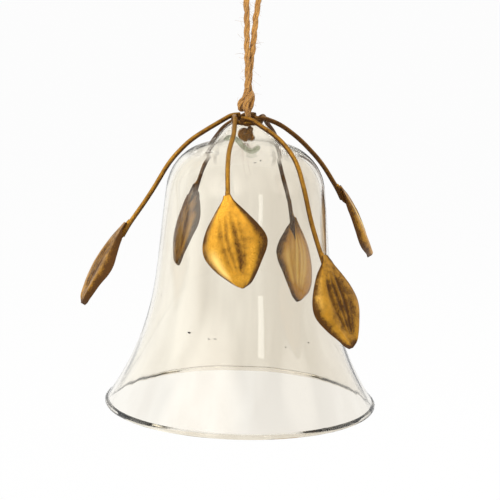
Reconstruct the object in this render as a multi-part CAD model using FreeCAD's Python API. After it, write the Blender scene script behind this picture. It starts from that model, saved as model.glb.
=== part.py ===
"""A hanging blown-glass bell with a wreath of six gilt metal leaves, on a knotted loop of jute twine.

Millimetres, +Z up. The origin is the hanging point: the underside of the loop's top, where a hook takes it.
Heights inside this file are measured up from the bell's rim, and every solid is moved down by HANG_Z at the end.
Azimuths run from +X towards +Y, and the bell's axis is the Z axis.
"""
import FreeCAD
import Part

import math
import os

Vec = FreeCAD.Vector
UP = Vec(0, 0, 1)

# Glass bell
RIM_R = 49.4  # outer radius of the wall at the rim, which its bead widens
RIM_Z = 1.4  # height of that edge above the height datum, so that the bead's foot is near 0
BELL_H = 105.0  # rim to the flat top of the crown
WALL = 1.4  # blown wall
LIP_R = 1.1  # fire-polished bead round the rim
LIP_LAND = 0.12  # depth of the narrow flat that the bell stands on, under the bead
FLARE_H = 50.0  # height at which the flare runs into the wall
WALL_TAPER = 5.5  # degrees that the wall leans in
SHOULDER_R = 17.6  # radius of the shoulder's arc
SHOULDER_CENTRE_R = 11.4  # its centre's distance from the axis
SHOULDER_DROP = 25.2  # its centre below the flat top
CROWN_R = 5.8  # the crown's flat top
CROWN_EDGE_R = 1.2  # rounding of that top's edge
CROWN_SLOPE = 45.0  # degrees that the crown's flank falls
CROWN_FILLET_R = 4.0  # hollow where the flank meets the shoulder

# Clapper hook, a bent glass rod fused inside the crown
HOOK_ROD_R = 0.95
HOOK_ROOT_R = 8.2  # where it leaves the wall: distance from the axis, azimuth, and drop below the flat top
HOOK_ROOT_AZIMUTH = 212.0
HOOK_ROOT_DROP = 4.6
HOOK_SINK = 1.5  # how far its root starts inside the glass before it is trimmed to the wall
HOOK_BENDS = ((-4.1, -3.8, -1.2), (-0.8, -2.9, -5.1), (2.0, -1.7, -6.7), (4.0, -1.1, -5.2))
# HOOK_BENDS are from the stopper knot's centre, and the last is the hook's tip.

# Twine
TWINE_D = 2.2
STRAND_GAP = 0.1  # between two strands side by side
HOLE_GAP = 0.75  # between the doubled twine and the edge of the hole
HOLE_R = TWINE_D + STRAND_GAP / 2 + HOLE_GAP  # hole in the crown
KNOT_OVER = 0.6  # how much larger than the hole's radius the stopper knot's is
KNOT_R = HOLE_R + KNOT_OVER
FIT_GAP = 0.05  # between the stopper knot and the edge of the hole
SEAT_MARGIN = 0.1  # of the stopper knot's flat top, beyond the strands
UPPER_KNOT_R = (3.2, 3.0, 5.0)  # half sizes across X, Y and Z
UPPER_KNOT_X = -0.8
KNOT_LIFT = 8.8  # the upper knot's centre above the flat top
KNOT_TRIM = 0.9  # share of the knot's half height at which the strands enter it
KNOT_BLOCK = 20.0  # side of the blocks that trim the knots
LOOP_H = 72.0  # the loop's top above the flat top
LOOP_HALF_W = 4.4  # half its width there, between centrelines
LOOP_LEAN = 0.3  # each strand's shift from X 0 where it leaves the upper knot
# Each strand from the knot to the loop's top: x and y in twine widths, and the share of the climb.
LEFT_RISE, RIGHT_RISE = 0.1076, 0.099  # straight out of the knot
LEFT_STRAND = ((-0.41, -0.27, 0.255), (-0.5, -0.05, 0.429), (-0.77, 0.05, 0.611), (-1.45, 0.0, 0.811))
RIGHT_STRAND = ((0.59, 0.27, 0.2465), (0.86, 0.05, 0.42), (1.5, -0.05, 0.6025), (1.95, 0.0, 0.802))

# Wreath
WIRE_R = 0.85
RING_R = 4.9  # to the middle of the ring's wire
LAY_GAP = 0.03  # between pieces that lie on each other
LAP_BACK = 70.0  # degrees before a stem's azimuth at which its end lies on the ring
LAP_FRONT = 35.0  # degrees before its azimuth at which it leaves the ring
LAP_OUT = 1.3  # how far outside the ring it is by then
WELD_R = 1.2  # braze beads between ring and stems
WELD_TURN = 6.0  # degrees that each bead sits on from the stem's end
WELD_LEAST = 0.05  # mm3, below which a cut-off crumb of a bead is left out
ARC_SHARE = 0.45  # most of a straight run that the bend at its end takes up
SWEEP_TOLERANCE = 0.02  # share by which a swept rod's volume may differ from its section times its length

# Leaves, stamped from sheet and curved
LEAF_W = 23.5
LEAF_T = 0.8
LEAF_BOW = 2.2  # rise of the middle above the line from base to tip
LEAF_CROWN = 2.1  # how far the edges fall below the middle
LEAF_LAP = 5.0  # stem end that lies under the leaf
LEAF_BASE_W = 3.4
LEAF_TIP_W = 3.0
LEAF_WIDEST = 0.52  # share of the length at which it is widest
LEAF_FULLNESS = 0.45  # 0 gives it a sine's sides, and 1 an S curve's
LEAF_BOW_FADE = 0.2  # how much less it bows towards the tip
LEAF_FACE_UP = 0.35  # rise of the direction that leaves face, per unit outwards
LEAF_STATIONS = (0.0, 0.12, 0.28, 0.45, 0.6, 0.75, 0.89, 1.0)

# Each spray: stem points outside the ring as (x, y, height from the bell's flat top), the last of them the
# leaf's root, then the leaf's tip, and how many degrees the leaf is turned about its own length.
SPRAYS = {
    "right": (
        [(11.9, 2.5, -0.3), (19.3, 4.1, -5.9), (27.5, 5.9, -14.6), (33.5, 7.1, -24.3)],
        (46.6, 18.5, -52.2), 8.0),
    "back_right": (
        [(7.2, 10.6, -1.4), (10.2, 18, -6.5), (12.2, 25.4, -13.1), (14.3, 29.6, -23), (17, 29.9, -31.8),
         (18.4, 29.4, -40)],
        (21.8, 37.7, -74.2), 20.0),
    "back_left": (
        [(-8.1, 9.8, -2.4), (-12.9, 21.6, -10.8), (-16.9, 25.4, -19.2), (-19.1, 25.8, -27.3)],
        (-26.8, 35.5, -60.7), -32.0),
    "left": (
        [(-13.4, -4.1, -1.1), (-20.5, -6.3, -5.5), (-27.5, -8.4, -12.8), (-34.1, -10.4, -24.6),
         (-41.7, -12.8, -35.7)],
        (-57.3, -20.5, -64.3), 5.0),
    "front_left": (
        [(-4.7, -14.4, -1.9), (-6.3, -20.5, -6.3), (-6.6, -28.5, -12), (-6.2, -32.8, -20.2)],
        (0, -41, -52.2), 3.0),
    "front_right": (
        [(11.9, -11.2, -3.4), (17.9, -18.2, -10), (20.9, -22.3, -19.4), (23.6, -24.3, -31), (27.6, -27, -42.6)],
        (38.8, -38, -73.7), -2.0),
}


def polar(radius, degrees, z):
    return Vec(radius * math.cos(math.radians(degrees)), radius * math.sin(math.radians(degrees)), z)


def from_top(point):
    """A point given by its height from the flat top, as one above the height datum."""
    return Vec(point[0], point[1], BELL_H + point[2])


def rounded_path(points, most=1e9):
    """Straight runs through the points, joined by tangent arcs as large as the runs allow, up to most."""
    edges, at, radii = [], points[0], []
    for before, corner, after in zip(points, points[1:], points[2:]):
        back, ahead = (before - corner).normalize(), (after - corner).normalize()
        half_turn = (math.pi - back.getAngle(ahead)) / 2
        run = min((before - corner).Length, (after - corner).Length)
        radius = min(most, ARC_SHARE * run / math.tan(half_turn))
        trim = radius * math.tan(half_turn)
        start, end = corner + back * trim, corner + ahead * trim
        inward = (back + ahead).normalize()
        middle = corner + inward * (radius / math.cos(half_turn) - radius)
        edges += [Part.LineSegment(at, start).toShape(), Part.Arc(start, middle, end).toShape()]
        at = end
        radii.append(radius)
    edges.append(Part.LineSegment(at, points[-1]).toShape())
    return Part.Wire(edges), radii


def tube(points, radius, most=1e9):
    """A round rod of that radius along rounded_path(points)."""
    path, radii = rounded_path(points, most)
    start = path.Edges[0]
    section = Part.Wire(Part.makeCircle(radius, start.valueAt(start.FirstParameter),
                                        start.tangentAt(start.FirstParameter)))
    solid = path.makePipeShell([section], True, False)
    expected = math.pi * radius**2 * path.Length
    if abs(solid.Volume / expected - 1) > SWEEP_TOLERANCE:
        raise ValueError(f"a swept rod has volume {solid.Volume:.1f}, and {expected:.1f} was expected")
    return solid, path, radii


def glass_profile():
    """The bell's outer profile in the XZ plane, from the rim to the edge of the hole."""
    taper, slope = math.radians(WALL_TAPER), math.radians(CROWN_SLOPE)

    def on_shoulder(angle):
        return Vec(SHOULDER_CENTRE_R + SHOULDER_R * math.cos(angle), 0,
                   BELL_H - SHOULDER_DROP + SHOULDER_R * math.sin(angle))

    wall_top = on_shoulder(taper)
    wall_foot = Vec(wall_top.x + (wall_top.z - FLARE_H) * math.tan(taper), 0, FLARE_H)
    drop = FLARE_H - RIM_Z
    rim_angle = 2 * math.atan2(RIM_R - wall_foot.x, drop) - taper
    flare_r = drop / (math.sin(rim_angle) - math.sin(taper))

    def on_flare(angle):
        return Vec(wall_foot.x + flare_r * (math.cos(taper) - math.cos(angle)), 0,
                   wall_foot.z - flare_r * (math.sin(angle) - math.sin(taper)))

    # The crown's edge arc ends where its flank starts.
    edge_centre = Vec(CROWN_R, 0, BELL_H - CROWN_EDGE_R)
    outward = Vec(math.sin(slope), 0, math.cos(slope))
    flank_top = edge_centre + outward * CROWN_EDGE_R
    edge_middle = edge_centre + Vec(math.sin(slope / 2), 0, math.cos(slope / 2)) * CROWN_EDGE_R
    # The hollow touches the flank and the shoulder: its centre is at both distances.
    downhill = Vec(math.cos(slope), 0, -math.sin(slope))
    shoulder_centre = Vec(SHOULDER_CENTRE_R, 0, BELL_H - SHOULDER_DROP)
    offset = flank_top + outward * CROWN_FILLET_R - shoulder_centre
    along, reach = offset.dot(downhill), SHOULDER_R + CROWN_FILLET_R
    travel = -along + math.sqrt(along**2 - offset.dot(offset) + reach**2)
    travel = min((t for t in (travel, -2 * along - travel) if t > 0), default=travel)
    hollow = flank_top + downhill * travel + outward * CROWN_FILLET_R
    to_shoulder = (shoulder_centre - hollow).normalize()
    flank_foot = hollow - outward * CROWN_FILLET_R
    shoulder_end = hollow + to_shoulder * CROWN_FILLET_R
    hollow_middle = hollow + (to_shoulder - outward).normalize() * CROWN_FILLET_R
    end_angle = math.atan2(shoulder_end.z - shoulder_centre.z, shoulder_end.x - shoulder_centre.x)
    edges = [
        Part.Arc(on_flare(rim_angle), on_flare((rim_angle + taper) / 2), wall_foot),
        Part.LineSegment(wall_foot, wall_top),
        Part.Arc(wall_top, on_shoulder((taper + end_angle) / 2), shoulder_end),
        Part.Arc(shoulder_end, hollow_middle, flank_foot),
        Part.LineSegment(flank_foot, flank_top),
        Part.Arc(flank_top, edge_middle, Vec(CROWN_R, 0, BELL_H)),
        Part.LineSegment(Vec(CROWN_R, 0, BELL_H), Vec(HOLE_R, 0, BELL_H)),
    ]
    return Part.Wire([e.toShape() for e in edges]), rim_angle


def glass_bell():
    """The profile thickened inwards and turned round the axis, with the bead round its rim."""
    outer, rim_angle = glass_profile()
    band = outer.makeOffset2D(-WALL, 0, True, True)
    shell = band.revolve(Vec(), UP, 360)
    if shell.BoundBox.XMax > RIM_R + WALL / 2:
        band = outer.makeOffset2D(WALL, 0, True, True)
        shell = band.revolve(Vec(), UP, 360)
    # The bead sits at the middle of the wall's foot, and a narrow flat under it is what the bell stands on.
    bead_at = Vec(RIM_R - WALL / 2 * math.cos(rim_angle), 0, RIM_Z - WALL / 2 * math.sin(rim_angle))
    bead = Part.makeTorus(bead_at.x, LIP_R, Vec(0, 0, bead_at.z), UP)
    land_z = bead_at.z - LIP_R + LIP_LAND
    below = Part.makeCylinder(2 * RIM_R, 2 * LIP_R, Vec(0, 0, land_z - 2 * LIP_R))
    solid = shell.fuse(bead).removeSplitter().cut(below)
    print(f"rim land: radius {bead_at.x:.3f}, {land_z:.3f} from the height datum")
    return solid.Solids[0]


def knot_centre_z():
    """The ball-shaped stopper knot seats in the hole's lower edge, so this is the point that the bell rocks on."""
    return BELL_H - WALL - math.sqrt((KNOT_R + FIT_GAP)**2 - HOLE_R**2)


def clapper_hook(glass):
    """A glass rod that comes out of the crown's inner flank, passes under the knot and turns up."""
    pivot = Vec(0, 0, knot_centre_z())
    root = polar(HOOK_ROOT_R + HOOK_SINK, HOOK_ROOT_AZIMUTH, BELL_H - HOOK_ROOT_DROP)
    points = [root] + [pivot + Vec(*bend) for bend in HOOK_BENDS]
    rod = tube(points, HOOK_ROD_R)[0]
    tip = Part.makeSphere(HOOK_ROD_R, points[-1])
    hook = rod.fuse(tip).removeSplitter().cut(glass)
    return max(hook.Solids, key=lambda s: s.Volume)


def strand_offset():
    return (TWINE_D + STRAND_GAP) / 2


def loop_route():
    """The twine's centreline from the upper knot, up, over the hook and back down to it."""
    top = BELL_H + LOOP_H - TWINE_D / 2
    foot = BELL_H + KNOT_LIFT + UPPER_KNOT_R[2] * KNOT_TRIM
    off, climb = strand_offset(), top - foot
    sides = []
    for way, rise, strand in ((-1, LEFT_RISE, LEFT_STRAND), (1, RIGHT_RISE, RIGHT_STRAND)):
        start = Vec(way * LOOP_LEAN, way * off, foot)
        bends = [Vec(x * TWINE_D, y * TWINE_D, foot + share * climb) for x, y, share in strand]
        sides.append([start, start + UP * rise * climb] + bends + [Vec(way * LOOP_HALF_W, 0, top)])
    return sides[0] + sides[1][::-1]


def twine_loop():
    solid, path, radii = tube(loop_route(), TWINE_D / 2)
    print(f"twine loop: {path.Length:.1f} mm, arc radii {[round(r, 1) for r in radii]}")
    return solid


def ellipsoid(centre, half_sizes):
    ball = Part.makeSphere(1.0)
    matrix = FreeCAD.Matrix()
    matrix.scale(*half_sizes)
    ball = ball.transformGeometry(matrix)
    ball.translate(centre)
    return ball


def upper_knot():
    """The knot that ties the loop, cut flat where the strands enter it above and below."""
    centre = Vec(UPPER_KNOT_X, 0, BELL_H + KNOT_LIFT)
    reach = UPPER_KNOT_R[2] * KNOT_TRIM
    slab = Part.makeBox(KNOT_BLOCK, KNOT_BLOCK, 2 * reach, centre - Vec(KNOT_BLOCK / 2, KNOT_BLOCK / 2, reach))
    return ellipsoid(centre, UPPER_KNOT_R).common(slab).Solids[0]


def seat_z():
    """Height of the stopper knot's flat top, just wide enough for the two strands."""
    return knot_centre_z() + math.sqrt(KNOT_R**2 - (strand_offset() + TWINE_D / 2 + SEAT_MARGIN)**2)


def twine_neck():
    """The two strands between the knots, one behind the other, through ring and hole."""
    foot, head = seat_z(), BELL_H + KNOT_LIFT - UPPER_KNOT_R[2] * KNOT_TRIM
    return Part.makeCompound([
        Part.makeCylinder(TWINE_D / 2, head - foot, Vec(0, side * strand_offset(), foot)) for side in (-1, 1)
    ])


def stopper_knot():
    ball = Part.makeSphere(KNOT_R, Vec(0, 0, knot_centre_z()))
    above = Part.makeBox(KNOT_BLOCK, KNOT_BLOCK, KNOT_BLOCK, Vec(-KNOT_BLOCK / 2, -KNOT_BLOCK / 2, seat_z()))
    return ball.cut(above).Solids[0]


def ring_z():
    return BELL_H + LAY_GAP + WIRE_R


def lap_z():
    return ring_z() + 2 * WIRE_R + LAY_GAP


def hub_ring():
    return Part.makeTorus(RING_R, WIRE_R, Vec(0, 0, ring_z()), UP)


def lap_points(stem):
    """Where a stem's inner end lies on the ring: its end, and where it leaves the ring."""
    azimuth = math.degrees(math.atan2(stem[-1][1], stem[-1][0]))
    return azimuth, polar(RING_R, azimuth - LAP_BACK, lap_z()), polar(RING_R + LAP_OUT, azimuth - LAP_FRONT, lap_z())


def stem_route(stem, tip):
    """From the ring, through the stem's points, and on under the leaf."""
    _, end, leave = lap_points(stem)
    root = from_top(stem[-1])
    under = root + (from_top(tip) - root).normalize() * LEAF_LAP
    return [end, leave] + [from_top(p) for p in stem] + [under]


def stem_wire(stem, tip):
    return tube(stem_route(stem, tip), WIRE_R)[0]


def leaf_frame(stem, tip, turn):
    """Root, length, direction, side and outward normal of a leaf that lies on the end of its stem."""
    base = from_top(stem[-1])
    axis = from_top(tip) - base
    length = axis.Length
    axis = axis.normalize()
    outward = Vec(base.x, base.y, 0).normalize() + UP * LEAF_FACE_UP
    normal = (outward - axis * outward.dot(axis)).normalize()
    normal = FreeCAD.Rotation(axis, turn).multVec(normal)
    side = normal.cross(axis)
    lift = WIRE_R + LAY_GAP
    return base + normal * lift, length, axis, side, normal


def leaf_half_width(t):
    """Half the leaf's width at share t of its length: a rounded lozenge, widest a little past the middle."""
    s = t / LEAF_WIDEST if t < LEAF_WIDEST else (1 - t) / (1 - LEAF_WIDEST)
    s = max(0.0, min(1.0, s))
    bulge = s * s * (3 - 2 * s) * LEAF_FULLNESS + math.sin(s * math.pi / 2) * (1 - LEAF_FULLNESS)
    root = (LEAF_BASE_W if t < LEAF_WIDEST else LEAF_TIP_W) / 2
    return root + (LEAF_W / 2 - root) * bulge


def leaf_section(t, length, base, axis, side, normal):
    """The leaf's cut across at share t of its length: an arched strip of the sheet."""
    half = leaf_half_width(t)
    fall = LEAF_CROWN * (2 * half / LEAF_W)**2
    rise = LEAF_BOW * math.sin(math.pi * t) * (1 - LEAF_BOW_FADE * t)
    middle = base + axis * (length * t) + normal * rise
    low_left, low_right = (middle + side * (s * half) - normal * fall for s in (-1, 1))
    thick = normal * LEAF_T
    return Part.Wire([
        Part.Arc(low_left, middle, low_right).toShape(),
        Part.LineSegment(low_right, low_right + thick).toShape(),
        Part.Arc(low_right + thick, middle + thick, low_left + thick).toShape(),
        Part.LineSegment(low_left + thick, low_left).toShape(),
    ])


def leaf(stem, tip, turn):
    base, length, axis, side, normal = leaf_frame(stem, tip, turn)
    sections = [leaf_section(t, length, base, axis, side, normal) for t in LEAF_STATIONS]
    return Part.makeLoft(sections, True, False)


def weld_beads(stems, ring):
    """Braze that fills the groove outside the ring, under each stem's lapped end."""
    beads = []
    for points, _, _ in SPRAYS.values():
        azimuth, _, _ = lap_points(points)
        bead = Part.makeSphere(WELD_R, polar(RING_R, azimuth - LAP_BACK + WELD_TURN, (ring_z() + lap_z()) / 2))
        for other in [ring] + stems:
            bead = bead.cut(other)
        beads += [s for s in bead.Solids if s.Volume > WELD_LEAST]
    return Part.makeCompound(beads)


def build():
    glass = glass_bell()
    ring = hub_ring()
    shapes = {
        "glass_bell": glass,
        "clapper_hook": clapper_hook(glass),
        "twine_loop": twine_loop(),
        "upper_knot": upper_knot(),
        "twine_neck": twine_neck(),
        "stopper_knot": stopper_knot(),
        "hub_ring": ring,
    }
    stems = []
    for name, (stem, tip, turn) in SPRAYS.items():
        stems.append(stem_wire(stem, tip))
        shapes[f"stem_{name}"] = stems[-1]
        shapes[f"leaf_{name}"] = leaf(stem, tip, turn)
    shapes["weld_beads"] = weld_beads(stems, ring)
    return shapes


def main():
    os.makedirs("parts", exist_ok=True)
    hang_z = BELL_H + LOOP_H - TWINE_D
    print(f"hanging point {hang_z:.2f} above the rim's lowest edge reference, knot centre {knot_centre_z():.3f}")
    for name, shape in build().items():
        shape = shape.copy()
        shape.translate(Vec(0, 0, -hang_z))
        if not shape.isValid() or any(s.Volume <= 0 for s in shape.Solids):
            raise ValueError(f"{name} isn't a valid solid")
        shape.exportStep(f"parts/{name}.step")
        print(f"{name}: {len(shape.Solids)} solid(s), {shape.Volume:.1f} mm3")


main()
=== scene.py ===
"""Looks of the hanging glass bell: blown glass, six stamped gilt leaves on wire stems, and knotted jute twine."""
import math
import random

import bmesh
import bpy
import numpy as np
from mathutils import Matrix, Vector, noise
from mathutils.bvhtree import BVHTree


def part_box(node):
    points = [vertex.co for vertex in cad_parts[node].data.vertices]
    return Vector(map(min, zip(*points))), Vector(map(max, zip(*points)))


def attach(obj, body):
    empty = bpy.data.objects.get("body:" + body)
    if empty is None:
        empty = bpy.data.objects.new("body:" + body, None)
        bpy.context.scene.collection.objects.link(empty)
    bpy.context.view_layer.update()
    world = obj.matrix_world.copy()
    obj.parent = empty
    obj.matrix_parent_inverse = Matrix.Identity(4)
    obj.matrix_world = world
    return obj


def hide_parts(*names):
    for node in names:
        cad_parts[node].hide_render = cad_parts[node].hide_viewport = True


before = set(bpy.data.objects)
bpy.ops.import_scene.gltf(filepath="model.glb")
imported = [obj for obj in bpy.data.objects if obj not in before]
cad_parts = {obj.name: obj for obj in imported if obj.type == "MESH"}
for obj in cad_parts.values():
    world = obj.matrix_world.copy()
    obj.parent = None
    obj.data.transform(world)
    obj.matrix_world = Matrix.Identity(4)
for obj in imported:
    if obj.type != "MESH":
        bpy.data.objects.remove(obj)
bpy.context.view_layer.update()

MM = 0.001
HANG = 174.8  # mm from the height datum at the bell's rim up to the origin, as in the CAD source
LEAVES = ("right", "back_right", "back_left", "left", "front_left", "front_right")
# Per leaf: how much darker it is, partly tarnish and partly painted light and shade; and where a painted highlight
# lies on it: (share across, from, to, strength)
PATINA_AND_SHADE = {"right": 0.38, "back_right": -0.12, "back_left": 0.48, "left": 0.34, "front_left": 0.02,
          "front_right": 0.36}
PAINTED_HIGHLIGHTS = {"right": (-0.30, 0.1, 0.8, 0.8), "back_right": (0.62, 0.35, 0.9, 0.9),
          "back_left": (-0.7, 0.5, 0.9, 0.3), "left": (-0.8, 0.2, 0.5, 0.4),
          "front_left": (-0.66, 0.50, 0.93, 1.0), "front_right": (-0.84, 0.10, 0.62, 0.25)}

# Glass, in mm from the height datum, as in the CAD source
RIM_R, RIM_Z, LIP_R = 49.4, 1.4, 1.1
BELL_H, WALL, FLARE_H, WALL_TAPER = 105.0, 1.4, 50.0, 5.5
SHOULDER_R, SHOULDER_CENTRE_R, SHOULDER_DROP = 17.6, 11.4, 25.2
CROWN_R, CROWN_EDGE_R, CROWN_SLOPE, CROWN_FILLET_R, HOLE_R = 5.8, 1.2, 45.0, 4.0, 3.0
AROUND = 288  # steps round the turned bell
RISING = 138  # how many of the profile's points, counted from the rim, are each higher than the last

# Towards its top the glass bends light less and lets a share of it straight through, so that its corners stay clear:
# the heights between which each effect comes in, and its final value
GLASS_IOR = 1.45
CROWN_FROM, CROWN_CLEAR, CROWN_IOR = 82.0, 95.0, 1.05
UNBENT_FROM, UNBENT_CLEAR, CROWN_UNBENT = 93.0, 97.0, 0.8
SHADOW_CLEAR = 0.75  # share of a shadow ray that passes straight through the glass

# Twine, in mm
TWINE_D = 2.2
STRAND_OFF = 1.15
PITCH = 0.0145  # one turn of the plies, in metres
LOOP_FOOT = 118.3
LOOP_TOP = 175.9
STOPPER_SHARE = 0.93  # size of the stopper knot's windings as a share of the CAD knot
KNOT_POINTS = 160
CORE_RINGS, CORE_SIDES = 12, 18
LEFT_LEG = [(-0.3, -STRAND_OFF, LOOP_FOOT), (-0.3, -STRAND_OFF, 124.5), (-0.9, -0.6, 133.0), (-1.1, -0.1, 143.0),
            (-1.7, 0.1, 153.5), (-3.2, 0.0, 165.0), (-4.4, 0.0, LOOP_TOP)]
RIGHT_LEG = [(0.3, STRAND_OFF, LOOP_FOOT), (0.3, STRAND_OFF, 124.0), (1.3, 0.6, 132.5), (1.9, 0.1, 142.5),
             (3.3, -0.1, 153.0), (4.3, 0.0, 164.5), (4.4, 0.0, LOOP_TOP)]

# Camera, in mm from the height datum
CAMERA_AT = (0.0, -1000.0, 272.0)
CAMERA_AIM = (0.0, 0.0, 60.0)
CAMERA_ROLL = math.radians(1.5)
CAMERA_LENS = 201.1
CAMERA_SHIFT = (0.0117, -0.0103)


def row(x, y, z):
    """A point in mm above the height datum, in the row frame in metres."""
    return Vector((x, y, z - HANG)) * MM


# ---------------------------------------------------------------- camera
def add_camera():
    eye, aim = row(*CAMERA_AT), row(*CAMERA_AIM)
    ahead = (aim - eye).normalized()
    right = ahead.cross(Vector((0, 0, 1))).normalized()
    up = right.cross(ahead)
    turned_right = right * math.cos(CAMERA_ROLL) + up * math.sin(CAMERA_ROLL)
    turned_up = up * math.cos(CAMERA_ROLL) - right * math.sin(CAMERA_ROLL)
    data = bpy.data.cameras.new("photo_camera")
    data.lens, data.sensor_width = CAMERA_LENS, 36.0
    data.shift_x, data.shift_y = CAMERA_SHIFT
    data.clip_start, data.clip_end = 0.01, 20.0
    camera = bpy.data.objects.new("photo_camera", data)
    basis = Matrix((turned_right, turned_up, -ahead)).transposed()
    camera.matrix_world = Matrix.Translation(eye) @ basis.to_4x4()
    bpy.context.scene.collection.objects.link(camera)
    bpy.context.scene.camera = camera


# ---------------------------------------------------------------- material helpers
class Nodes:
    """Short calls for building a material's node tree."""

    def __init__(self, name):
        self.material = bpy.data.materials.new(name)
        self.material.use_nodes = True
        self.tree = self.material.node_tree
        self.tree.nodes.clear()
        self.out = self.add("ShaderNodeOutputMaterial")
        self.coords = self.add("ShaderNodeTexCoord").outputs["Object"]

    def add(self, kind, **sockets):
        node = self.tree.nodes.new(kind)
        for key, value in sockets.items():
            self.put(node.inputs[key.replace("_", " ")], value)
        return node

    def put(self, socket, value):
        if isinstance(value, bpy.types.NodeSocket):
            self.tree.links.new(value, socket)
        else:
            socket.default_value = value

    def stretched(self, scale):
        node = self.add("ShaderNodeMapping", Vector=self.coords, Scale=scale)
        return node.outputs["Vector"]

    def noise(self, scale, detail=4.0, roughness=0.55, vector=None):
        node = self.add("ShaderNodeTexNoise", Vector=vector or self.coords, Scale=scale, Detail=detail,
                        Roughness=roughness)
        return node.outputs["Fac"]

    def ramp(self, fac, stops):
        node = self.add("ShaderNodeValToRGB", Fac=fac)
        ramp = node.color_ramp
        while len(ramp.elements) < len(stops):
            ramp.elements.new(0.5)
        for element, (place, colour) in zip(ramp.elements, stops):
            element.position = place
            element.color = (*colour, 1.0)
        return node.outputs["Color"]

    def level(self, fac, low, high, to_low=0.0, to_high=1.0):
        node = self.add("ShaderNodeMapRange", Value=fac, From_Min=low, From_Max=high, To_Min=to_low, To_Max=to_high)
        return node.outputs["Result"]

    def math(self, operation, a, b):
        node = self.add("ShaderNodeMath")
        node.operation = operation
        self.put(node.inputs[0], a)
        self.put(node.inputs[1], b)
        return node.outputs["Value"]

    def mix(self, fac, a, b):
        node = self.add("ShaderNodeMix")
        node.data_type = "RGBA"
        self.put(node.inputs["Factor"], fac)
        self.put(node.inputs["A"], (*a, 1.0) if isinstance(a, tuple) else a)
        self.put(node.inputs["B"], (*b, 1.0) if isinstance(b, tuple) else b)
        return node.outputs["Result"]

    def attribute(self, name):
        node = self.add("ShaderNodeAttribute")
        node.attribute_name = name
        return node.outputs["Fac"]

    def bump(self, height, strength, distance):
        node = self.add("ShaderNodeBump", Height=height, Strength=strength, Distance=distance)
        return node.outputs["Normal"]

    def blend(self, fac, first, second):
        node = self.add("ShaderNodeMixShader")
        self.put(node.inputs[0], fac)
        self.tree.links.new(first.outputs[0], node.inputs[1])
        self.tree.links.new(second.outputs[0], node.inputs[2])
        return node

    def finish(self, shader):
        self.tree.links.new(shader.outputs[0], self.out.inputs["Surface"])
        return self.material

    def surface(self, **sockets):
        return self.finish(self.add("ShaderNodeBsdfPrincipled", **sockets))


def glass_material(name, warm, grey, ior=GLASS_IOR, unbent=CROWN_UNBENT):
    """Clear soda glass with a slow ripple; its colour is partly its own cream tint and partly a painted reflection of
    the room: cream on one side and greyish pink on the other, in vertical streaks.
    """
    n = Nodes(name)
    # Painted reflection of the room: upright streaks, and a lean from cream on one side to grey on the other
    streaks = n.noise(1.0, 2.5, 0.5, n.stretched((75.0, 75.0, 4.0)))
    place = n.add("ShaderNodeSeparateXYZ", Vector=n.coords).outputs
    lean = n.level(place["X"], -0.042, 0.018, -0.22, 0.22)
    colour = n.ramp(n.math("ADD", streaks, lean), [(0.30, warm), (0.68, grey)])
    ripple = n.noise(1.0, 1.5, 0.45, n.stretched((60.0, 60.0, 14.0)))
    bend = n.level(place["Z"], row(0, 0, CROWN_FROM).z, row(0, 0, CROWN_CLEAR).z, ior, CROWN_IOR)
    crown = n.level(place["Z"], row(0, 0, UNBENT_FROM).z, row(0, 0, UNBENT_CLEAR).z, 0.0, unbent)
    glass = n.add("ShaderNodeBsdfPrincipled", Base_Color=colour, Roughness=0.012, IOR=bend, Transmission_Weight=1.0,
                  Normal=n.bump(ripple, 0.22, 0.0012))
    straight = n.add("ShaderNodeBsdfTransparent", Color=(0.985, 0.97, 0.935, 1))
    shaded = n.add("ShaderNodeBsdfTransparent", Color=(0.93, 0.91, 0.87, 1))
    shadow = n.add("ShaderNodeLightPath").outputs["Is Shadow Ray"]
    return n.finish(n.blend(n.math("MULTIPLY", shadow, SHADOW_CLEAR), n.blend(crown, glass, straight), shaded))


def gilt_material(name, on_leaf, darker=0.0):
    """Grainy antique gold paint on metal: brown tarnish in hollows and along edges, painted shade, and painted
    highlights on high places.

    A leaf's tarnish, painted shade and painted highlights come from its relief; a wire is darker underneath as
    painted shade, and darker towards the ring.
    """
    n = Nodes(name)
    grain = n.noise(2900.0 if on_leaf else 1900.0, 3.0, 0.65)
    blotches = n.noise(300.0, 5.0, 0.65)
    if on_leaf:
        patina_and_shade = n.math("ADD", n.level(blotches, 0.40, 0.74, -0.10, 0.40), n.attribute("patina_and_shade"))
    else:
        facing = n.add("ShaderNodeNewGeometry").outputs["Normal"]
        up = n.add("ShaderNodeSeparateXYZ", Vector=facing).outputs["Z"]
        high = n.add("ShaderNodeSeparateXYZ", Vector=n.coords).outputs["Z"]
        # Painted shade: darker where the wire faces down, and darker towards the ring at the top
        patina_and_shade = n.math("ADD", n.level(blotches, 0.44, 0.70, 0.0, 0.30), n.level(up, -0.35, 0.55, 0.75, 0.0))
        patina_and_shade = n.math("ADD", patina_and_shade, n.level(high, -0.086, -0.070, 0.0, 0.22))
    patina_and_shade = n.math("ADD", patina_and_shade, n.level(grain, 0.35, 0.65, darker - 0.34, darker + 0.34))
    patina_and_shade = n.level(patina_and_shade, 0.12, 0.90)
    speckle = n.level(grain, 0.42, 0.64)
    gold = n.mix(speckle, (0.52, 0.235, 0.014) if on_leaf else (0.30, 0.125, 0.008), (0.93, 0.50, 0.055))
    if on_leaf:
        # Painted highlight: pale yellow wherever the leaf's painted highlight number is high
        painted_highlight = n.math("MINIMUM", n.attribute("painted_highlight"), 1.0)
        gold = n.mix(painted_highlight, gold, (1.0, 0.70, 0.20))
    colour = n.mix(patina_and_shade, gold, (0.095, 0.038, 0.006))
    rough = n.level(patina_and_shade, 0.0, 1.0, 0.29, 0.58)
    relief = n.math("ADD", n.math("MULTIPLY", grain, 0.7), n.math("MULTIPLY", blotches, 0.8))
    return n.surface(Base_Color=colour, Metallic=0.72, Roughness=rough,
                     Normal=n.bump(relief, 0.7, 0.0003 if on_leaf else 0.0006))


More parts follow.
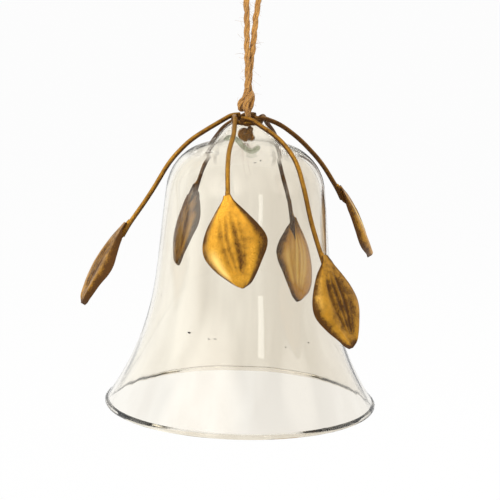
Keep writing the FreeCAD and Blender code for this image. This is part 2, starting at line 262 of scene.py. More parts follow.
def twine_material(name, shade):
    """Dry jute: golden tan fibres with brown shade between them."""
    n = Nodes(name)
    fibres = n.noise(1.0, 5.0, 0.65, n.stretched((4200.0, 4200.0, 420.0)))
    patches = n.noise(280.0, 3.0, 0.6)
    tan = n.ramp(fibres, [(place, tuple(c * shade for c in tint)) for place, tint in (
        (0.34, (0.15, 0.060, 0.011)), (0.52, (0.48, 0.235, 0.052)), (0.74, (0.72, 0.40, 0.105)))])
    colour = n.mix(n.level(patches, 0.42, 0.75, 0.0, 0.6), tan, (0.27, 0.12, 0.03))
    return n.surface(Base_Color=colour, Roughness=0.88, Sheen_Weight=0.25, Sheen_Roughness=0.5,
                     Normal=n.bump(fibres, 0.7, 0.00018))


def plain_material(name, colour, roughness):
    """One mottled colour."""
    n = Nodes(name)
    mottle = n.noise(900.0, 3.0)
    dark = tuple(c * 0.55 for c in colour)
    return n.surface(Base_Color=n.mix(n.level(mottle, 0.35, 0.7), colour, dark), Roughness=roughness,
                     Normal=n.bump(mottle, 0.3, 0.0001))


# ---------------------------------------------------------------- mesh helpers
def add_object(name, vertices, faces, material, body, attributes=None):
    """A smooth-shaded piece that rides its body; attributes give one number per vertex."""
    mesh = bpy.data.meshes.new(name)
    mesh.from_pydata([tuple(v) for v in vertices], [], faces)
    mesh.polygons.foreach_set("use_smooth", [True] * len(mesh.polygons))
    for key, values in (attributes or {}).items():
        layer = mesh.attributes.new(key, "FLOAT", "POINT")
        layer.data.foreach_set("value", values)
    mesh.materials.append(material)
    bm = bmesh.new()
    bm.from_mesh(mesh)
    bmesh.ops.recalc_face_normals(bm, faces=bm.faces)
    bm.to_mesh(mesh)
    bm.free()
    piece = bpy.data.objects.new(name, mesh)
    bpy.context.scene.collection.objects.link(piece)
    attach(piece, body)
    return piece


def round_angles(count):
    return [2 * math.pi * j / count for j in range(count)]


class Builder:
    """Collects tubes and closed strips into one mesh."""

    def __init__(self):
        self.vertices, self.faces = [], []

    def rings(self, rings, closed=False):
        """Skins the rings in turn, and either joins the last to the first or caps both ends."""
        start, sides = len(self.vertices), len(rings[0])
        for ring in rings:
            self.vertices += ring
        count = len(rings)
        for i in range(count if closed else count - 1):
            a, b = start + i * sides, start + (i + 1) % count * sides
            for j in range(sides):
                k = (j + 1) % sides
                self.faces.append((a + j, a + k, b + k, b + j))
        if not closed:
            self.faces.append(tuple(start + j for j in range(sides)))
            self.faces.append(tuple(start + (count - 1) * sides + j for j in reversed(range(sides))))


def along(points, step, closed=False):
    """Points spaced evenly by step along a polyline, each with a frame that doesn't twist."""
    pts = [Vector(p) for p in points] + ([Vector(points[0])] if closed else [])
    lengths = np.cumsum([0.0] + [(b - a).length for a, b in zip(pts, pts[1:])])
    count = max(3, int(round(lengths[-1] / step)))
    wanted = np.linspace(0.0, lengths[-1], count + 1)
    xyz = np.array([tuple(p) for p in pts])
    spaced = [Vector(v) for v in np.stack([np.interp(wanted, lengths, xyz[:, k]) for k in range(3)], 1)]
    if closed:
        spaced = spaced[:-1]
    frames, last = [], None
    for i, p in enumerate(spaced):
        before = spaced[i - 1] if i or closed else p
        after = spaced[(i + 1) % len(spaced)] if i + 1 < len(spaced) or closed else p
        ahead = (after - before).normalized()
        if last is None:
            last = ahead.orthogonal().normalized()
        last = (last - ahead * last.dot(ahead)).normalized()
        frames.append((p, ahead, last, ahead.cross(last)))
    return frames, float(lengths[-1])


def twisted(builder, points, diameter, pitch, seed, closed=False):
    """Plies wound round the polyline, each a bundle of fibres whose thickness wanders."""
    frames, length = along(points, diameter * 0.2, closed)
    ply_r = diameter / 2 / (1 + 2 / math.sqrt(3)) * 1.06
    orbit = diameter / 2 - ply_r
    plies, sides, bundles = 3, 24, 7
    turns = max(1, round(length / pitch)) if closed else length / pitch
    for ply in range(plies):
        rings = []
        for i, (p, ahead, u, v) in enumerate(frames):
            s = i / len(frames)
            angle = 2 * math.pi * (ply / plies + turns * s)
            wander = noise.noise(Vector((s * length * 420, ply * 7.3, seed * 3.1)))
            centre = p + (u * math.cos(angle) + v * math.sin(angle)) * orbit * (1 + 0.12 * wander)
            radius = ply_r * (1 + 0.16 * wander)
            ring = []
            for a in round_angles(sides):
                ridge = 1 + 0.10 * math.cos(bundles * (a - 1.3 * angle) + 2.5 * wander)
                ring.append(centre + (u * math.cos(a) + v * math.sin(a)) * radius * ridge)
            rings.append(ring)
        builder.rings(rings, closed)


HAIR_SIDES = (0.0, 2.094, 4.189)  # a triangle's corners, in radians


def hair(builder, start, direction, length, radius, rng):
    """One loose fibre, a thin curved tube."""
    bend = Vector((rng.uniform(-1, 1), rng.uniform(-1, 1), rng.uniform(-1, 1))) * 0.9
    points = [start]
    for k in range(1, 7):
        direction = (direction + bend * 0.22).normalized()
        points.append(points[-1] + direction * length / 6)
    frames, _ = along(points, length / 8)
    rings = []
    for i, (p, _, u, v) in enumerate(frames):
        r = radius * (1 - 0.6 * i / len(frames))
        rings.append([p + (u * math.cos(a) + v * math.sin(a)) * r for a in HAIR_SIDES])
    builder.rings(rings)


def fuzz(builder, points, diameter, count, longest, seed):
    """Loose fibres that stand off a twine."""
    rng = random.Random(seed)
    frames, _ = along(points, diameter * 0.2)
    for _ in range(count):
        p, ahead, u, v = frames[rng.randrange(1, len(frames) - 1)]
        a = rng.uniform(0, 2 * math.pi)
        out = u * math.cos(a) + v * math.sin(a)
        way = out + ahead * rng.choice((-1, 1)) * rng.uniform(0.2, 1.2)
        size = longest * rng.uniform(0.25, 1.0) ** 1.6
        hair(builder, p + out * diameter * 0.42, way.normalized(), size, rng.uniform(0.03, 0.055) * MM, rng)


def spline_points(points):
    """The smooth centreline of a cord's route: a NURBS spline with those points as its control points."""
    curve = bpy.data.curves.new("route", "CURVE")
    curve.dimensions = "3D"
    spline = curve.splines.new("NURBS")
    spline.points.add(len(points) - 1)
    for point, place in zip(spline.points, points):
        point.co = (*place, 1.0)
    spline.order_u = 3
    spline.use_endpoint_u = True
    spline.resolution_u = 24
    holder = bpy.data.objects.new("route", curve)
    bpy.context.scene.collection.objects.link(holder)
    bpy.context.view_layer.update()
    mesh = bpy.data.meshes.new_from_object(holder.evaluated_get(bpy.context.evaluated_depsgraph_get()))
    line = [v.co.copy() for v in mesh.vertices]
    bpy.data.objects.remove(holder)
    bpy.data.curves.remove(curve)
    bpy.data.meshes.remove(mesh)
    return line


# ---------------------------------------------------------------- twine
def knot_line(centre, half_sizes, tilt, lean):
    """A closed trefoil, the shape that an overhand knot pulls into, fitted to the given half sizes."""
    turn = Matrix.Rotation(tilt, 3, "Y") @ Matrix.Rotation(lean, 3, "X")
    raw = []
    for t in round_angles(KNOT_POINTS):
        raw.append(turn @ Vector((math.sin(t) + 2 * math.sin(2 * t), 2.1 * math.sin(3 * t),
                                  math.cos(t) - 2 * math.cos(2 * t))))
    spans = [max(abs(p[k]) for p in raw) for k in range(3)]
    return [centre + Vector([p[k] / spans[k] * half_sizes[k] for k in range(3)]) for p in raw]


def core(centre, half_sizes):
    """Rings of the round lump that closes a knot's middle."""
    rings = []
    for i in range(1, CORE_RINGS):
        up, out = -math.cos(math.pi * i / CORE_RINGS), math.sin(math.pi * i / CORE_RINGS)
        rings.append([centre + Vector((out * half_sizes[0] * math.cos(a), out * half_sizes[1] * math.sin(a),
                                       up * half_sizes[2])) for a in round_angles(CORE_SIDES)])
    return rings


def tied_strands(jute):
    """The knot that ties the loop: one strand winds down round the other, and both go on into the neck."""
    low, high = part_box("upper_knot")
    top, foot = high.z / MM + HANG, low.z / MM + HANG
    winding = [(-0.3, -1.15, top + 0.5), (-0.3, -1.2, top - 1.3), (-1.2, -0.8, top - 3.6), (-2.6, -0.5, top - 5.4),
               (-3.1, 0.2, top - 7.2), (-2.1, 1.1, top - 8.4), (-0.2, 1.9, top - 7.2), (1.2, 1.6, top - 4.6),
               (1.5, 0.2, top - 1.9), (0.8, -1.6, top - 2.6), (-0.4, -2.1, top - 4.7), (-1.0, -1.9, top - 6.4),
               (-0.3, -1.35, foot + 0.6), (0.0, -1.15, foot - 0.6)]
    straight = [(0.3, 1.15, top + 0.5), (0.6, 1.0, top - 1.2), (1.4, 0.5, top - 3.0), (1.5, -0.3, top - 5.0),
                (1.1, 0.2, top - 7.0), (0.3, 0.9, foot + 0.8), (0.0, 1.15, foot - 0.6)]
    builder, lines = Builder(), []
    for seed, path in ((21, winding), (22, straight)):
        lines.append(spline_points([row(*p) for p in path]))
        twisted(builder, lines[-1], TWINE_D * MM, PITCH, seed)
    builder.rings(core(row(-0.5, 0, (top + foot) / 2), Vector((1.5, 1.3, 3.4)) * MM))
    fuzz(builder, lines[0], TWINE_D * MM, 46, 3.0 * MM, 23)
    piece = add_object("jute_upper_knot", builder.vertices, builder.faces, jute, "hanger")
    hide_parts("upper_knot")
    return piece


def knot(name, node, body, centre, half_sizes, tilt, lean, seed, jute, hairs, longest):
    """A tight knot: one strand round and round through itself, over a core that closes the middle."""
    inner = [h - TWINE_D * 0.48 * MM for h in half_sizes]
    line = knot_line(centre, inner, tilt, lean)
    builder = Builder()
    twisted(builder, line, TWINE_D * 1.02 * MM, 7.5 * MM, seed, closed=True)
    builder.rings(core(centre, inner))
    fuzz(builder, line, TWINE_D * MM, hairs, longest, seed)
    piece = add_object(name, builder.vertices, builder.faces, jute, body)
    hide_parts(node)


def twine():
    """The loop, its loose fibres, the neck, both knots and the wisps under the lower one."""
    jute = twine_material("jute", 1.0)
    route = [row(*p) for p in LEFT_LEG + RIGHT_LEG[::-1]]
    line = spline_points(route)
    loop = Builder()
    twisted(loop, line, TWINE_D * MM, PITCH, 1)
    loop_piece = add_object("jute_loop", loop.vertices, loop.faces, jute, "hanger")
    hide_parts("twine_loop")
    loose = Builder()
    fuzz(loose, line, TWINE_D * MM, 210, 5.0 * MM, 11)
    loose_piece = add_object("jute_fuzz", loose.vertices, loose.faces, jute, "hanger")

    low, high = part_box("twine_neck")
    neck = Builder()
    for side in (-1, 1):
        ends = [Vector((0, side * STRAND_OFF * MM, z)) for z in (low.z, (low.z + high.z) / 2, high.z)]
        twisted(neck, ends, TWINE_D * MM, PITCH, 5 + side)
    neck_piece = add_object("jute_neck", neck.vertices, neck.faces, jute, "hanger")
    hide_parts("twine_neck")

    upper = tied_strands(jute)
    low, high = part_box("stopper_knot")
    half = [(high[k] - low[k]) / 2 * STOPPER_SHARE for k in range(3)]
    knot("jute_stopper_knot", "stopper_knot", "stopper", (low + high) / 2, half, -0.6, 0.5, 31,
         twine_material("jute_in_the_shade", 0.42), 30, 2.6 * MM)

    rng = random.Random(8)
    wisps = Builder()
    under = Vector((0, 0, low.z + 0.4 * MM))
    for _ in range(26):
        way = Vector((rng.uniform(-1, 0.7), rng.uniform(0.25, 1.0), rng.uniform(-1.3, -0.5))).normalized()
        hair(wisps, under + way * 1.0 * MM, way, rng.uniform(3, 13) * MM, rng.uniform(0.03, 0.05) * MM, rng)
    red = plain_material("dry_fibre", (0.36, 0.13, 0.06), 0.8)
    add_object("frayed_fibres", wisps.vertices, wisps.faces, red, "stopper")


# ---------------------------------------------------------------- glass
def arc(centre, radius, start, end, count):
    """Points on an arc of the profile, each with the direction out from the arc's centre."""
    out = []
    for i in range(count + 1):
        a = start + (end - start) * i / count
        way = (math.cos(a), math.sin(a))
        out.append((centre[0] + radius * way[0], centre[1] + radius * way[1], way))
    return out


def glass_profile():
    """The bell's outer profile from rim to hole, as (radius, height, outward direction), in mm."""
    taper, slope = math.radians(WALL_TAPER), math.radians(CROWN_SLOPE)
    shoulder = (SHOULDER_CENTRE_R, BELL_H - SHOULDER_DROP)
    top = (shoulder[0] + SHOULDER_R * math.cos(taper), shoulder[1] + SHOULDER_R * math.sin(taper))
    foot = (top[0] + (top[1] - FLARE_H) * math.tan(taper), FLARE_H)
    drop = FLARE_H - RIM_Z
    rim_angle = 2 * math.atan2(RIM_R - foot[0], drop) - taper
    flare_r = drop / (math.sin(rim_angle) - math.sin(taper))
    flare = (foot[0] + flare_r * math.cos(taper), foot[1] + flare_r * math.sin(taper))
    profile = [(r, z, (-w[0], -w[1])) for r, z, w in
               arc(flare, flare_r, math.pi + rim_angle, math.pi + taper, 70)]
    side = (math.cos(taper), math.sin(taper))
    profile += [(foot[0] + (top[0] - foot[0]) * k / 24, foot[1] + (top[1] - foot[1]) * k / 24, side)
                for k in range(1, 24)]
    edge = (CROWN_R, BELL_H - CROWN_EDGE_R)
    out = (math.sin(slope), math.cos(slope))
    down = (math.cos(slope), -math.sin(slope))
    brow = (edge[0] + CROWN_EDGE_R * out[0], edge[1] + CROWN_EDGE_R * out[1])
    gap = (brow[0] + CROWN_FILLET_R * out[0] - shoulder[0], brow[1] + CROWN_FILLET_R * out[1] - shoulder[1])
    ahead = gap[0] * down[0] + gap[1] * down[1]
    reach = SHOULDER_R + CROWN_FILLET_R
    travel = -ahead + math.sqrt(ahead ** 2 - gap[0] ** 2 - gap[1] ** 2 + reach ** 2)
    other = -2 * ahead - travel
    travel = min(t for t in (travel, other) if t > 0)
    hollow = (brow[0] + travel * down[0] + CROWN_FILLET_R * out[0],
              brow[1] + travel * down[1] + CROWN_FILLET_R * out[1])
    end = math.atan2(hollow[1] - shoulder[1], hollow[0] - shoulder[0])
    profile += arc(shoulder, SHOULDER_R, taper, end, 46)
    first, last = end - math.pi, -math.pi / 2 - slope
    profile += [(r, z, (-w[0], -w[1])) for r, z, w in arc(hollow, CROWN_FILLET_R, first, last, 14)][1:]
    profile += [(brow[0], brow[1], out)]
    profile += arc(edge, CROWN_EDGE_R, math.pi / 2 - slope, math.pi / 2, 8)[1:]
    profile += [(HOLE_R, BELL_H, (0.0, 1.0))]
    return profile, rim_angle


def blown_glass(cream):
    """The bell turned from its profile, with a bead round the rim and the slight unevenness of blown glass."""
    profile, rim_angle = glass_profile()
    outer = [(r, z) for r, z, _ in profile]
    slope = math.radians(CROWN_SLOPE)
    under = BELL_H - WALL
    inner = [(r - WALL * w[0], z - WALL * w[1]) for r, z, w in profile]
    brow = (CROWN_R + CROWN_EDGE_R * math.sin(slope), BELL_H - CROWN_EDGE_R * (1 - math.cos(slope)))
    corner = (brow[0] - WALL * math.sin(slope), brow[1] - WALL * math.cos(slope))
    corner = (corner[0] - (under - corner[1]) / math.tan(slope), under)
    inner = [(r, z) for r, z in inner if z < under - 0.01 and r > corner[0]] + [corner, (HOLE_R, under)]
    bead_r, bead_z = RIM_R - WALL / 2 * math.cos(rim_angle), RIM_Z - WALL / 2 * math.sin(rim_angle)
    half = math.asin(WALL / 2 / LIP_R) * 1.02
    up = math.pi / 2 + rim_angle
    bead = [(bead_r + LIP_R * math.cos(a), bead_z + LIP_R * math.sin(a))
            for a in np.linspace(up + half, up + 2 * math.pi - half, 26)]
    loop = outer[::-1] + bead[::-1] + inner
    rings = []
    for a in round_angles(AROUND):
        ring = []
        for r, z in loop:
            sag = noise.noise(Vector((math.cos(a) * 1.3, math.sin(a) * 1.3, z * 0.035)))
            swell = 1 + 0.0035 * sag * min(1.0, max(0.0, (BELL_H - z) / 25))
            ring.append(row(r * swell * math.cos(a), r * swell * math.sin(a), z))
        rings.append(ring)
    builder = Builder()
    builder.rings(rings, closed=True)
    piece = add_object("blown_bell", builder.vertices, builder.faces, cream, "bell")
    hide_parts("glass_bell")


def specks():
    """Seeds and specks caught in the wall, as (azimuth in degrees, height, length, width) in mm."""
    places = [(-122.7, 33.6, 1.4, 0.66), (-109.5, 32.4, 0.8, 0.30), (-105.8, 32.6, 1.3, 0.26), (-134, 1.6, 2.4, 0.35),
              (-130, 1.5, 1.4, 0.3), (-52, 2.0, 2.8, 0.3), (50, 16.5, 0.9, 0.4), (66, 12.5, 0.9, 0.35),
              (-81.5, 94.4, 1.2, 0.24), (-75.5, 95.0, 0.6, 0.42), (160, 38.0, 0.9, 0.4), (110, 60.0, 0.7, 0.3)]
    profile, _ = glass_profile()
    heights = [z for _, z, _ in profile][:RISING]
    radii = [r for r, _, _ in profile][:RISING]
    builder = Builder()
    for azimuth, height, length, width in places:
        a = math.radians(azimuth)
        radius = float(np.interp(height, heights, radii)) - 0.04
        centre = row(radius * math.cos(a), radius * math.sin(a), height)
        out, side = Vector((math.cos(a), math.sin(a), 0)), Vector((-math.sin(a), math.cos(a), 0))
        rings = []
        for i in range(1, 8):
            t = -math.cos(math.pi * i / 8)
            r = math.sin(math.pi * i / 8) * width / 2
            jag = noise.noise(Vector((azimuth, height, i * 1.7))) * 0.3 * width
            rings.append([centre + (side * t * length / 2 + out * r * math.cos(b) * 0.5
                                    + Vector((0, 0, 1)) * (r * math.sin(b) + jag)) * MM
                          for b in round_angles(8)])
        builder.rings(rings)
    dark = plain_material("glass_seed", (0.02, 0.013, 0.010), 0.6)
    add_object("glass_seeds", builder.vertices, builder.faces, dark, "bell")


# ---------------------------------------------------------------- leaves
# The outline on each side, as (share of the length from root to tip, half width in mm)
OUTLINE_LEFT = [(0.0, 1.35), (0.05, 2.0), (0.18, 5.9), (0.34, 9.9), (0.50, 12.2), (0.63, 12.0), (0.78, 8.9),
                (0.90, 4.9), (0.97, 2.2), (1.0, 0.3)]
OUTLINE_RIGHT = [(0.0, 1.35), (0.06, 2.2), (0.20, 5.6), (0.36, 9.4), (0.49, 11.4), (0.60, 11.0), (0.74, 8.4),
                 (0.88, 5.4), (0.96, 3.0), (1.0, 0.3)]
# Each groove as (share across near the root, share across near the tip, half width, depth in mm)
GROOVES = ((-0.44, -0.24, 0.085, 0.46), (-0.20, -0.08, 0.075, 0.52), (0.08, 0.12, 0.095, 0.62),
           (0.36, 0.28, 0.11, 0.26))
EDGE_ROLL = 1.7  # mm that the edge turns down
SHEET = 0.6
LEAF_SINK = 0.12  # how far the stamped face lies under the CAD leaf's outer face
LEAF_ROWS, LEAF_COLUMNS = 84, 64


def smooth_width(outline, t):
    """Half width at share t, through the outline's points on a smooth curve."""
    ts = [p[0] for p in outline]
    i = max(0, min(len(ts) - 2, int(np.searchsorted(ts, t, "right")) - 1))
    p = [outline[max(0, min(len(outline) - 1, k))] for k in (i - 1, i, i + 1, i + 2)]
    s = (t - p[1][0]) / (p[2][0] - p[1][0])
    span = p[2][0] - p[1][0]
    m1 = (p[2][1] - p[0][1]) / max(1e-6, p[2][0] - p[0][0]) * span
    m2 = (p[3][1] - p[1][1]) / max(1e-6, p[3][0] - p[1][0]) * span
    return ((2 * s ** 3 - 3 * s ** 2 + 1) * p[1][1] + (s ** 3 - 2 * s ** 2 + s) * m1
            + (3 * s ** 2 - 2 * s ** 3) * p[2][1] + (s ** 3 - s ** 2) * m2)


def leaf_frame(node, stem):
    """Root, direction, side, outward normal and length of a CAD leaf, from its mesh."""
    mesh = node.data
    area = np.array([p.area for p in mesh.polygons])
    mid = np.array([tuple(p.center) for p in mesh.polygons])
    centre = (mid * area[:, None]).sum(0) / area.sum()
    spread = ((mid - centre) * area[:, None]).T @ (mid - centre)
    _, axes = np.linalg.eigh(spread)
    normal, direction = Vector(axes[:, 0]), Vector(axes[:, 2])
    points = np.array([tuple(v.co) for v in mesh.vertices])
    stem_mid = np.array([tuple(v.co) for v in stem.data.vertices]).mean(0)
    if (centre - stem_mid) @ np.array(direction) < 0:
        direction.negate()
    reach = (points - centre) @ np.array(direction)
    root = Vector(points[reach < reach.min() + 0.0004].mean(0))
    tip = Vector(points[reach > reach.max() - 0.0004].mean(0))
    direction = (tip - root).normalized()
    normal = (normal - direction * normal.dot(direction)).normalized()
    if normal.dot(Vector((centre[0], centre[1], 0.012))) < 0:
        normal.negate()
    return root, direction, normal.cross(direction), normal, (tip - root).length


def outer_heights(node, root, direction, side, normal, length):
    """A smooth surface through the CAD leaf's outer face, as a function of share along and mm across."""
    tree = BVHTree.FromPolygons([v.co for v in node.data.vertices], [tuple(p.vertices) for p in node.data.polygons])
    terms, found = [], []
    for t in np.linspace(0.03, 0.97, 15):
        reach = min(smooth_width(OUTLINE_LEFT, t), smooth_width(OUTLINE_RIGHT, t)) * 0.9
        for v in np.linspace(-reach, reach, 9):
            start = root + direction * (length * t) + side * (v * MM) + normal * 0.02
            hit = tree.ray_cast(start, -normal)[0]
            if hit is not None:
                terms.append([t ** i * v ** j for i in range(5) for j in range(3)])
                found.append((hit - root).dot(normal))
    weights = np.linalg.lstsq(np.array(terms), np.array(found), rcond=None)[0]

    def height(t, v):
        return float(np.dot([t ** i * v ** j for i in range(5) for j in range(3)], weights))
    return height


def ease(x, low, high):
    """0 below low, 1 above high, and a smooth step between."""
    s = min(1.0, max(0.0, (x - low) / (high - low)))
    return s * s * (3 - 2 * s)


def relief(t, v, seed):
    """At share t along and share v across: the stamped relief in mm, the tarnish with painted shade and painted
    highlight, and how deep in a groove it is.
    """
    groove, depth = 0.0, 0.0
    for near, far, width, deep in GROOVES:
        place = near + (far - near) * ease(t, 0.2, 0.9) + 0.02 * math.sin(5 * t + seed + near * 9)
        start = 0.24 + 0.10 * abs(near + 0.1)
        reach = ease(t, start - 0.10, start + 0.10) * (1 - ease(t, 0.76, 0.90))
        shape = math.exp(-((v - place) / width) ** 2) * reach
        groove, depth = max(groove, shape * deep / 0.5), depth + shape * deep
    swell = ease(t, 0.30, 0.62) * (1 - ease(t, 0.93, 1.0))
    band = (0.34 if v < 0 else 0.20) * math.exp(-((abs(v) - 0.66) / 0.15) ** 2) * swell
    edge = ease(abs(v), 0.70, 1.02) * ease(t, 0.03, 0.2)
    tip = ease(t, 0.90, 1.0)
    dents = 0.09 * noise.noise(Vector((t * 8 + seed, v * 3, seed * 1.7)))
    lift = band - depth - EDGE_ROLL * edge ** 1.4 - 0.5 * tip + dents
    mottle = noise.noise(Vector((t * 5 + seed * 3, v * 2.2, seed)))
    # Tarnish in the grooves and along the edges; painted shade makes the edges wider and darker and the whole leaf
    # darker on the v > 0 side; darker towards the tip
    margin = ease(abs(v), 0.62 if v > 0 else 0.76, 0.99)
    dark = 0.48 * groove + (0.80 if v > 0 else 0.70) * margin + 0.5 * tip + 0.14 * ease(v, -0.1, 0.5)
    # Random mottle of tone, made lighter where the raised band carries a painted highlight
    dark += 0.34 * max(0.0, mottle) - 0.30 * band / 0.34
    return lift, dark, groove


def stamped_leaf(name, gilt, seed, darker):
    """A leaf shaped over its CAD leaf, with its tarnish, painted shade and painted highlights; gives the place and
    directions that its braze needs.
    """
    node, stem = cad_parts["leaf_" + name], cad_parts["stem_" + name]
    root, direction, side, normal, length = leaf_frame(node, stem)
    height = outer_heights(node, root, direction, side, normal, length)
    faces_up, faces_down, patina_and_shade_rows, highlight_rows = [], [], [], []
    highlight_at, highlight_from, highlight_to, highlight_strength = PAINTED_HIGHLIGHTS[name]
    # Painted highlight on the ridges of the inner face, strongest on the back right leaf seen from inside
    under = 0.9 if name == "back_right" else 0.3
    for i in range(LEAF_ROWS + 1):
        t = i / LEAF_ROWS
        left, right = smooth_width(OUTLINE_LEFT, t), smooth_width(OUTLINE_RIGHT, t)
        up_row, down_row, patina_and_shade_row, highlight_row, ridges = [], [], [], [], []
        for j in range(LEAF_COLUMNS + 1):
            v = math.sin((2 * j / LEAF_COLUMNS - 1) * math.pi / 2)
            across = v * (left if v < 0 else right)
            lift, dark, groove = relief(t, v, seed)
            base = root + direction * (length * t) + side * (across * MM)
            top = height(t, across)
            thick = SHEET * (1 - 0.55 * abs(v) ** 8)
            up_row.append(base + normal * (top + (lift - LEAF_SINK) * MM))
            down_row.append(base + normal * (top + (lift * 0.85 - LEAF_SINK - thick) * MM))
            # Painted highlight: a bright streak along the leaf, at its listed share across, from, to and strength
            highlight_across = math.exp(-((v - highlight_at + 0.35 * (t - 0.7) ** 2) / 0.13) ** 2)
            highlight_along = ease(t, highlight_from, highlight_from + 0.2) * (1 - ease(t, highlight_to - 0.12, highlight_to))
            highlight_row.append(highlight_strength * highlight_across * highlight_along)
            patina_and_shade_row.append(dark + darker - 0.6 * highlight_row[-1])
            ridges.append(groove)
        faces_up.append(up_row)
        faces_down.append(down_row)
        # The inner face's rows run backwards; its ridges get a painted highlight and less darkening
        patina_and_shade_rows.append(patina_and_shade_row + [w - 1.4 * under * g for w, g in zip(patina_and_shade_row, ridges)][::-1])
        highlight_rows.append(highlight_row + [max(b, under * g) for b, g in zip(highlight_row, ridges)][::-1])
    ring_rows = [up + down[::-1] for up, down in zip(faces_up, faces_down)]
    builder = Builder()
    builder.rings(ring_rows)
    patina_and_shade, painted_highlight = sum(patina_and_shade_rows, []), sum(highlight_rows, [])
    piece = add_object(f"stamped_leaf_{name}", builder.vertices, builder.faces, gilt, "wreath",
                       attributes={"patina_and_shade": patina_and_shade, "painted_highlight": painted_highlight})
    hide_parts("leaf_" + name)
    return root, direction, side, normal


def braze(name, gilt, root, direction, side, normal):
    """The tapered rib of braze that covers the stem's end under the leaf."""
    lumps = LEAVES.index(name) * 3.7
    builder = Builder()
    rings = []
    for i in range(17):
        s = i / 16
        reach = -1.6 + 11.0 * s
        taper = ease(reach, 4.8, 9.4)
        centre = root + direction * (reach * MM) - normal * ((0.88 - 0.75 * taper) * MM)
        r = (0.60 + 0.30 * ease(s, 0.0, 0.12) - 0.74 * taper) * MM
        ring = []
        for a in round_angles(16):
            rough = 1 + 0.10 * noise.noise(Vector((math.cos(a) * 2, math.sin(a) * 2 + i * 0.5, lumps)))
            ring.append(centre + (side * math.cos(a) + normal * math.sin(a)) * r * rough)
        rings.append(ring)
    builder.rings(rings)
    add_object(f"braze_{name}", builder.vertices, builder.faces, gilt, "wreath")


# ---------------------------------------------------------------- stage
FLOOR_HALF, FLOOR_DROP = 6, 0.25  # in metres
MIDDLE = (0, 0, -0.11)  # about the middle of the bell


def seen_factor(n):
    """1 for the rays that see the backdrop itself: camera, glossy and transmission rays."""
    path = n.add("ShaderNodeLightPath")
    first = n.math("MAXIMUM", path.outputs["Is Camera Ray"], path.outputs["Is Glossy Ray"])
    return n.math("MAXIMUM", first, path.outputs["Is Transmission Ray"])


def stage():
    """A pale floor below the hanging bell, nearly white to the rays that see it."""
    n = Nodes("pale_floor")
    diffuse = n.add("ShaderNodeBsdfDiffuse", Color=(0.92, 0.92, 0.92, 1))
    white = n.add("ShaderNodeEmission", Color=(1, 1, 1, 1), Strength=1.0)
    mesh = bpy.data.meshes.new("floor")
    mesh.from_pydata([(-FLOOR_HALF, -FLOOR_HALF, 0), (FLOOR_HALF, -FLOOR_HALF, 0), (FLOOR_HALF, FLOOR_HALF, 0),
                      (-FLOOR_HALF, FLOOR_HALF, 0)], [], [(0, 1, 2, 3)])
    mesh.materials.append(n.finish(n.blend(n.math("MULTIPLY", seen_factor(n), 0.95), diffuse, white)))
    floor = bpy.data.objects.new("floor", mesh)
    floor.location = (0, 0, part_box("glass_bell")[0].z - FLOOR_DROP)
    bpy.context.scene.collection.objects.link(floor)


def room():
    """A room seen only in or through glass and gilt: upright streaks in front, glows at the sides, white behind."""
    n = Nodes("room")
    way = n.add("ShaderNodeVectorMath")
    way.operation = "NORMALIZE"
    n.put(way.inputs[0], n.coords)
    streaks = n.noise(1.0, 3.0, 0.5, n.stretched((2.6, 2.6, 0.35)))
    walls = n.ramp(streaks, [(0.34, (0.09, 0.083, 0.072)), (0.52, (0.25, 0.235, 0.205)),
                             (0.68, (0.55, 0.525, 0.475))])
    place = n.add("ShaderNodeSeparateXYZ", Vector=way.outputs["Vector"])
    white = n.level(place.outputs["Y"], -0.12, 0.30)
    colour = n.mix(white, walls, (1.0, 1.0, 1.0))
    colour = n.mix(n.level(place.outputs["Z"], 0.45, 0.95, 0.0, 0.8), colour, (1.0, 0.98, 0.95))
    for aim, edge, core, glow in (((-0.50, -0.62, 0.60), 0.78, 0.985, (2.9, 2.75, 2.5)),
                                  ((-0.93, -0.30, 0.10), 0.93, 0.99, (1.9, 1.85, 1.7)),
                                  ((0.80, -0.38, 0.45), 0.94, 0.99, (1.5, 1.45, 1.35))):
        dot = n.add("ShaderNodeVectorMath")
        dot.operation = "DOT_PRODUCT"
        n.put(dot.inputs[0], way.outputs["Vector"])
        n.put(dot.inputs[1], Vector(aim).normalized())
        near = n.add("ShaderNodeMapRange", Value=dot.outputs["Value"], From_Min=edge, From_Max=core)
        near.interpolation_type = "SMOOTHSTEP"
        colour = n.mix(near.outputs["Result"], colour, glow)
    n.finish(n.add("ShaderNodeEmission", Color=colour, Strength=1.0))
    mesh = bpy.data.meshes.new("room")
    bm = bmesh.new()
    bmesh.ops.create_uvsphere(bm, u_segments=96, v_segments=48, radius=2.4)
    bm.to_mesh(mesh)
    bm.free()
    mesh.materials.append(n.material)
    dome = bpy.data.objects.new("room", mesh)
    dome.location = MIDDLE
    dome.visible_camera = dome.visible_diffuse = dome.visible_shadow = False
    bpy.context.scene.collection.objects.link(dome)


def lamp(name, place, aim, size, watts, colour, size_y=None, mirrored=True):
    data = bpy.data.lights.new(name, "AREA")
    data.energy, data.color, data.size = watts, colour, size
    if size_y:
        data.shape, data.size_y = "RECTANGLE", size_y
    obj = bpy.data.objects.new(name, data)
    obj.location = place
    obj.rotation_euler = (Vector(aim) - Vector(place)).to_track_quat("-Z", "Y").to_euler()
    obj.visible_glossy = obj.visible_transmission = mirrored
    bpy.context.scene.collection.objects.link(obj)


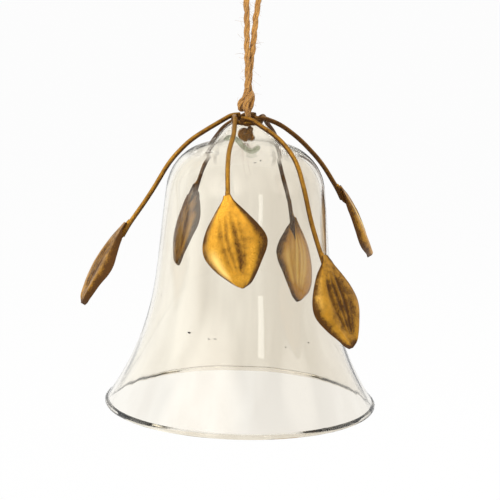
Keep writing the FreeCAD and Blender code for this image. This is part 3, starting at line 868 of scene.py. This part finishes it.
def lights():
    """Soft lamps, one of them mirrored as a window, and a white world that lights less than it shows."""
    lamp("key", (-0.55, -0.95, 0.45), MIDDLE, 0.45, 11.0, (1.0, 0.97, 0.92), mirrored=False)
    lamp("fill", (0.9, -0.6, 0.1), MIDDLE, 0.6, 4.0, (1.0, 0.96, 0.90), mirrored=False)
    lamp("back", (0.3, 0.9, 0.6), MIDDLE, 0.5, 6.0, (1.0, 0.98, 0.95), mirrored=False)
    lamp("window", (0.385, -0.925, 0.05), (0, 0, -0.07), 0.11, 0.34, (0.97, 1.0, 0.96), 0.35)
    world = bpy.data.worlds.new("studio")
    bpy.context.scene.world = world
    world.use_nodes = True
    tree = world.node_tree
    path = tree.nodes.new("ShaderNodeLightPath")
    background = tree.nodes["Background"]
    seen = path.outputs["Is Camera Ray"]
    for other in ("Is Glossy Ray", "Is Transmission Ray"):
        both = tree.nodes.new("ShaderNodeMath")
        both.operation = "MAXIMUM"
        tree.links.new(seen, both.inputs[0])
        tree.links.new(path.outputs[other], both.inputs[1])
        seen = both.outputs[0]
    strength = tree.nodes.new("ShaderNodeMapRange")
    tree.links.new(seen, strength.inputs["Value"])
    strength.inputs["To Min"].default_value = 0.55
    strength.inputs["To Max"].default_value = 1.0
    tree.links.new(strength.outputs["Result"], background.inputs["Strength"])
    background.inputs["Color"].default_value = (1, 1, 1, 1)


def finish_frame_nodes(gilt, shaded_gilt, hook_glass):
    """Materials for the CAD pieces that stay as they are."""
    for name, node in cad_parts.items():
        if name.startswith(("stem_", "hub_", "weld_", "clapper_")):
            # Painted shade: the right and back stems and the weld beads get the darker copy of the wire gilt
            dark = name in ("stem_right", "stem_back_right", "stem_back_left", "weld_beads")
            node.data.materials.clear()
            node.data.materials.append(hook_glass if name == "clapper_hook" else shaded_gilt if dark else gilt)


def main():
    add_camera()
    twine()
    stage()
    room()
    lights()
    cream = glass_material("blown_glass", (0.985, 0.957, 0.885), (0.868, 0.828, 0.752))
    blown_glass(cream)
    specks()
    leaf_gilt = gilt_material("leaf_gilt", True)
    wire_gilt = gilt_material("wire_gilt", False, 0.16)
    for i, name in enumerate(LEAVES):
        # Each leaf's darkness offset is partly tarnish and partly painted light and shade
        root, direction, side, normal = stamped_leaf(name, leaf_gilt, 1.0 + 2.3 * i, PATINA_AND_SHADE[name])
        braze(name, wire_gilt, root, direction, side, normal)
    # Painted shade: a darker copy of the wire gilt
    shaded_wire_gilt = gilt_material("shaded_wire_gilt", False, 0.42)
    hook_glass = glass_material("hook_glass", (0.50, 0.56, 0.45), (0.40, 0.45, 0.37), 1.11, unbent=0.2)
    finish_frame_nodes(wire_gilt, shaded_wire_gilt, hook_glass)
    bpy.context.scene.view_settings.view_transform = "Standard"


main()
